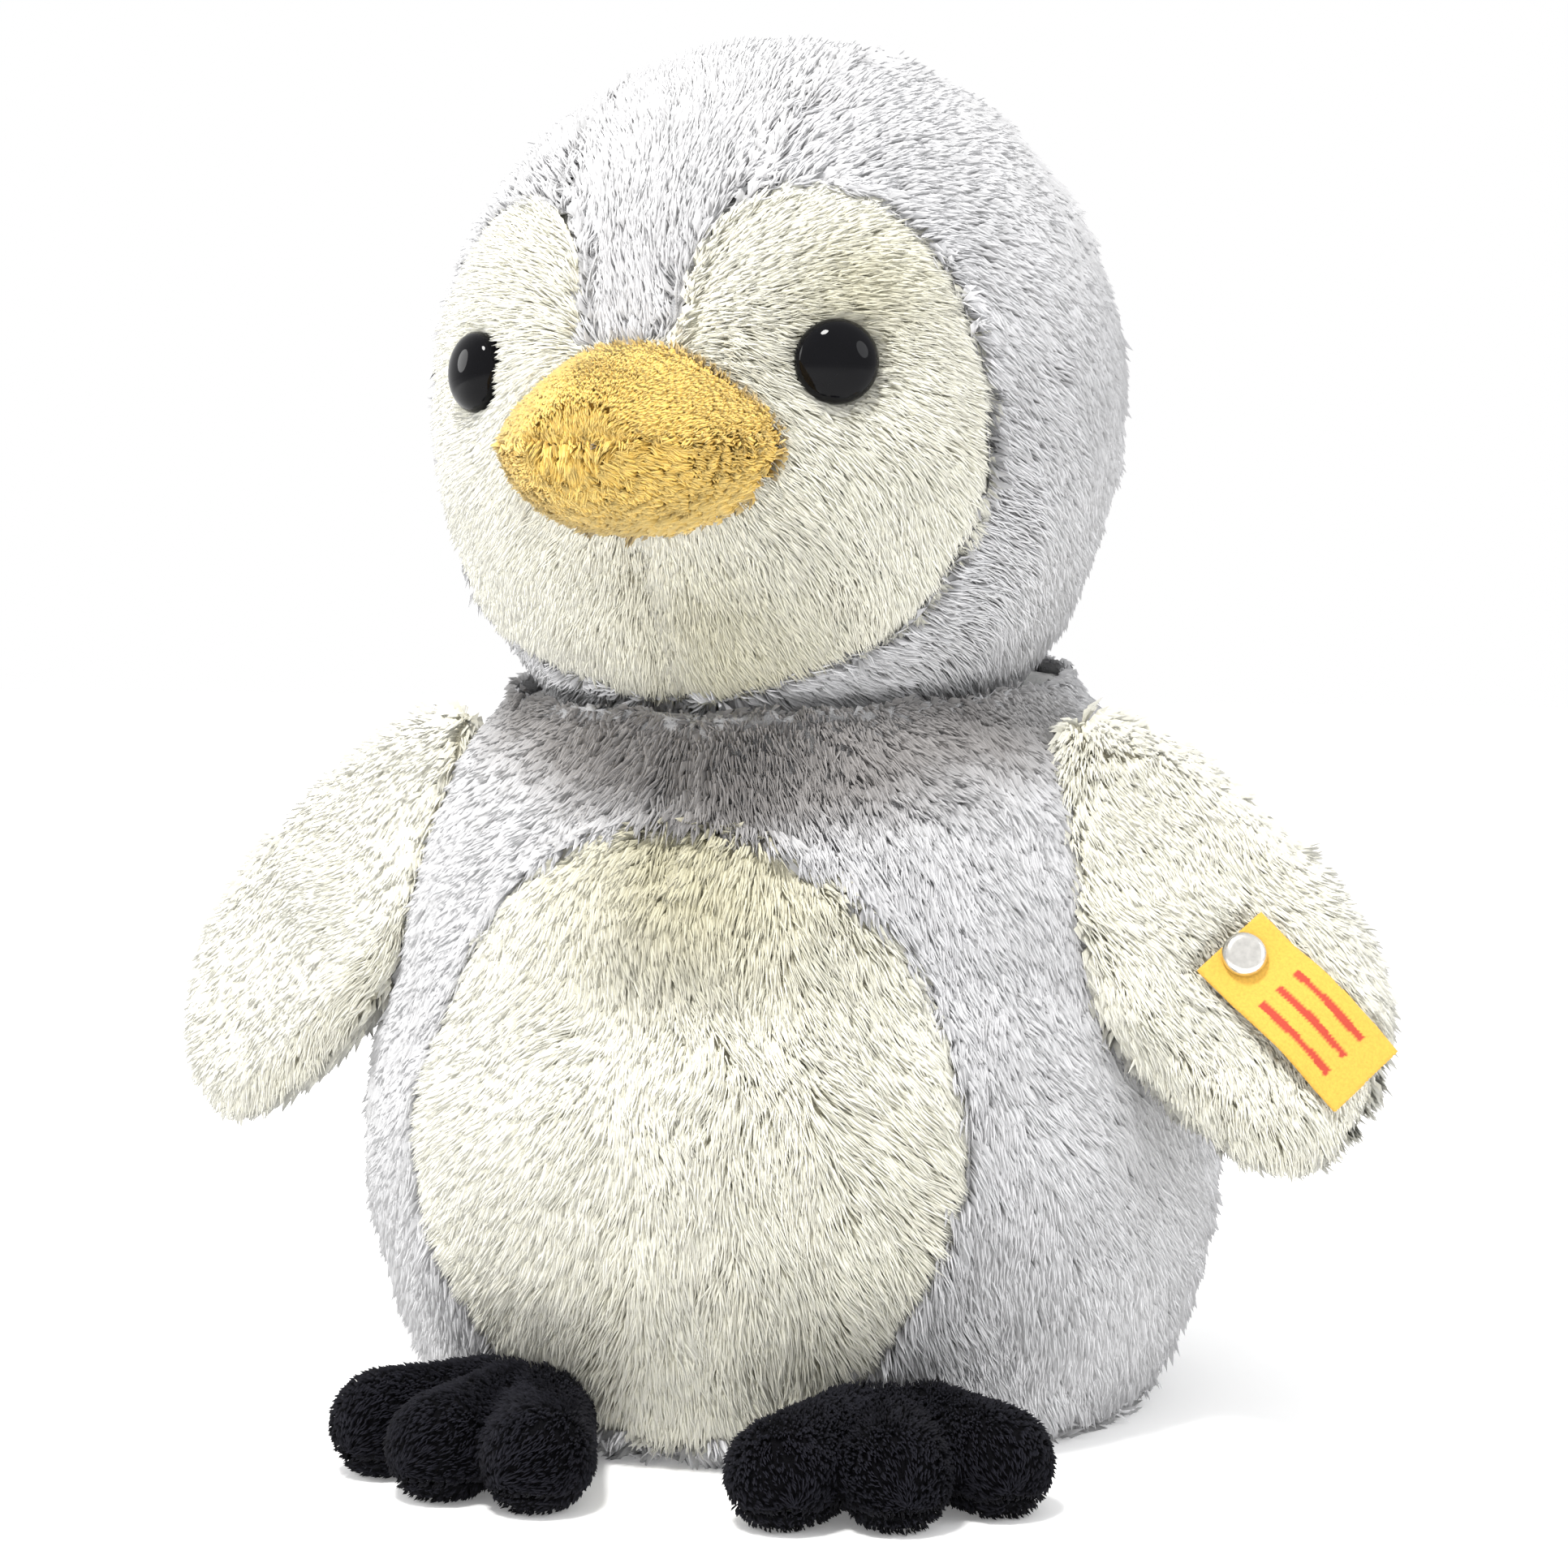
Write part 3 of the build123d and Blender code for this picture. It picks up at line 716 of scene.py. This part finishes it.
def ribbon_room(points):
    """Presses the pile flat where the ribbon and the button lie on it."""
    off = points - BUTTON
    run = off @ RIBBON_LINE
    wide = np.abs(off @ np.cross(WING_FRONT, RIBBON_LINE))
    near = np.clip((0.0090 - wide) / 0.003, 0, 1) * np.clip((run + 0.009) / 0.003, 0, 1)
    return 1 - 0.55 * near


for name, side, seed in (("left", 1, 501), ("right", -1, 511)):
    mass = evenly_meshed(f"wing_{name}_stuffing", f"wing_{name}_stuffing_mass", 0.002, soften=2)
    settle(mass, f"wing_{name}_stuffing", fibre)
    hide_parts(f"wing_{name}_stuffing")
    for step, face in enumerate(("front", "back")):
        node = f"wing_{name}_{face}"
        outside = wing_outside(side, face)
        cloth = cover(node, 0.0011, as_cut, outside, 0.0010, cream_backing)
        trim = ribbon_room if node == "wing_left_front" else None
        count = 16000 if face == "front" else 10000
        pile = grow_pile(cloth, f"{node}_pile", cream_pile, count, length=0.0056, thick=0.00026,
                         facing=outside, lay=wing_lay(side), lift=31, tuft=15, seed=seed + step,
                         wild=1.3, trim=trim)
        settle(pile, node, cream_pile)


# ---- button and ribbon ----
# A plain domed metal button riveted through the left wing, holding one end of
# a yellow twill ribbon with three plain red stripes woven in.
button_metal = plain_finish("button metal", (0.80, 0.78, 0.74), 0.25, 900, 0.1, metallic=1.0)
for node in ("button_cap", "button_back"):
    part = frame["nodes"][node]
    part.data.materials.clear()
    part.data.materials.append(button_metal)
ribbon_twill = plain_finish("ribbon twill", (0.74, 0.42, 0.055), 0.8, 2500, 0.3, sheen=0.1)
ribbon_nodes, ribbon_links = ribbon_twill.node_tree.nodes, ribbon_twill.node_tree.links
woven = ribbon_nodes.new("ShaderNodeAttribute")
woven.attribute_name = "stripe"
thread = ribbon_nodes.new("ShaderNodeMix")
thread.data_type = "RGBA"
thread.inputs["B"].default_value = (0.45, 0.045, 0.02, 1)
ribbon_links.new(woven.outputs["Fac"], thread.inputs["Factor"])
ribbon_links.new(ribbon_nodes["Color Ramp"].outputs["Color"], thread.inputs["A"])
ribbon_links.new(thread.outputs["Result"], ribbon_nodes["Principled BSDF"].inputs["Base Color"])
ribbon = evenly_meshed("ribbon_tag", "ribbon_tag_cloth", 0.0004, soften=0)
points = points_of(ribbon.data)
run = (points - BUTTON) @ RIBBON_LINE
beside = (points - BUTTON) @ np.cross(WING_FRONT, RIBBON_LINE)
curl = 0.0016 * np.sin(np.clip(run - 0.004, 0, None) / 0.0055)
points += WING_FRONT * curl[:, None]
put_points(ribbon.data, points)
stripe = np.zeros(len(points))
for middle in (-0.0036, 0.0, 0.0036):
    thin = np.abs(beside - middle) < 0.0006
    stripe = np.maximum(stripe, thin * (run > 0.007) * (run < 0.021))
layer = ribbon.data.attributes.new("stripe", "FLOAT", "POINT")
layer.data.foreach_set("value", stripe.astype(np.float32))
settle(ribbon, "ribbon_tag", ribbon_twill)
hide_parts("ribbon_tag")


# ---- feet ----
# Three stuffed toes cut in one piece of short black plush, sewn to a sole of
# the same and caught to the bottom of the body.
black_backing = plain_finish("black backing", (0.004, 0.004, 0.005), 0.95, 2600, 0.8)
black_pile = pile_finish(
    "black pile", (0.003, 0.003, 0.004), (0.006, 0.006, 0.009), (0.020, 0.020, 0.027), 0.30,
    sheen=0.02,
)
for finish in (black_pile, black_backing):
    finish.node_tree.nodes["Principled BSDF"].inputs["Specular IOR Level"].default_value = 0.06
FOOT_TWIST = radians(5.0)
TOE_HEIGHT = 0.0072
HEEL = (0.027, -0.054)
TOE_ENDS = ((0.0180, -0.0846), (0.0333, -0.0814), (0.0458, -0.0710))


def twisted(x, y, z):
    """A place on the feet, both turned a little the same way under the body."""
    across = x * cos(FOOT_TWIST) - y * sin(FOOT_TWIST)
    along = x * sin(FOOT_TWIST) + y * cos(FOOT_TWIST)
    return np.array([across, along, z])


def foot_outside(side):
    """How squarely normals face out of the nearest of three toes."""
    heel = twisted(side * HEEL[0], HEEL[1], TOE_HEIGHT)
    ends = [twisted(side * x, y, TOE_HEIGHT) for x, y in TOE_ENDS]

    def outside(points, normals):
        nearest = None
        least = np.full(len(points), 9.0)
        for end in ends:
            line = end - heel
            share = np.clip(((points - heel) @ line) / (line @ line), 0, 1)
            spoke = points - heel - share[:, None] * line
            far = np.linalg.norm(spoke, axis=1)
            nearest = spoke if nearest is None else np.where((far < least)[:, None], spoke, nearest)
            least = np.minimum(least, far)
        return (normals * unit(nearest)).sum(axis=1)

    return outside


def foot_lay(side):
    """Pile combed forward along the toes and down."""
    along = twisted(side * 0.39, -0.92, -0.25)

    def lay(points, normals):
        return np.tile(along, (len(points), 1))

    return lay


for name, side, seed in (("left", 1, 601), ("right", -1, 611)):
    mass = evenly_meshed(f"foot_{name}_stuffing", f"foot_{name}_stuffing_mass", 0.0015, soften=2)
    settle(mass, f"foot_{name}_stuffing", fibre)
    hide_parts(f"foot_{name}_stuffing")
    for step, face in enumerate(("top", "sole")):
        node = f"foot_{name}_{face}"
        outside = foot_outside(side)
        area, count = (0.0020, 9000) if face == "top" else (0.0012, 2500)
        cloth = cover(node, 0.0010, as_cut, outside, 0.0005, black_backing)
        pile = grow_pile(cloth, f"{node}_pile", black_pile, count, length=0.0018, thick=0.00026,
                         facing=outside, lay=foot_lay(side), lift=34, tuft=8, seed=seed + step,
                         pull=0.2)
        press_on_floor(pile)
        settle(pile, node, black_pile)


# ---- floor and light ----
# A wide, plain white floor with a slight glow, a key light high in front, a
# weaker light on each side, and a bright white room.
bpy.ops.mesh.primitive_plane_add(size=6, location=(0, 0, 0))
floor = bpy.context.object
floor.name = "floor"
white_floor = bpy.data.materials.new("white floor")
white_floor.use_nodes = True
floor_shader = white_floor.node_tree.nodes["Principled BSDF"]
floor_shader.inputs["Base Color"].default_value = (0.95, 0.95, 0.95, 1)
floor_shader.inputs["Roughness"].default_value = 1.0
floor_shader.inputs["Specular IOR Level"].default_value = 0.0
floor_shader.inputs["Emission Color"].default_value = (1, 1, 1, 1)
floor_shader.inputs["Emission Strength"].default_value = 0.15
floor.data.materials.append(white_floor)

world = bpy.data.worlds.new("bright room")
world.use_nodes = True
world.node_tree.nodes["Background"].inputs["Color"].default_value = (1.0, 1.0, 1.0, 1)
world.node_tree.nodes["Background"].inputs["Strength"].default_value = 1.0
bpy.context.scene.world = world
bpy.context.scene.view_settings.view_transform = "Standard"


def soft_light(name, place, size, power, colour):
    """A round lamp that shines at the middle of the toy."""
    bpy.ops.object.light_add(type="AREA", location=place)
    lamp = bpy.context.object
    lamp.name = name
    lamp.data.shape = "DISK"
    lamp.data.size = size
    lamp.data.energy = power
    lamp.data.color = colour
    aim = Vector((0, 0, 0.11)) - Vector(place)
    lamp.rotation_euler = aim.to_track_quat("-Z", "Y").to_euler()


soft_light("key light", (-0.06, -0.52, 1.08), 0.24, 12.5, (1.0, 0.99, 0.97))
soft_light("right light", (0.95, -0.15, 0.55), 0.50, 2.5, (0.97, 0.98, 1.0))
soft_light("left light", (-0.95, -0.20, 0.45), 0.50, 4.5, (1.0, 1.0, 0.99))
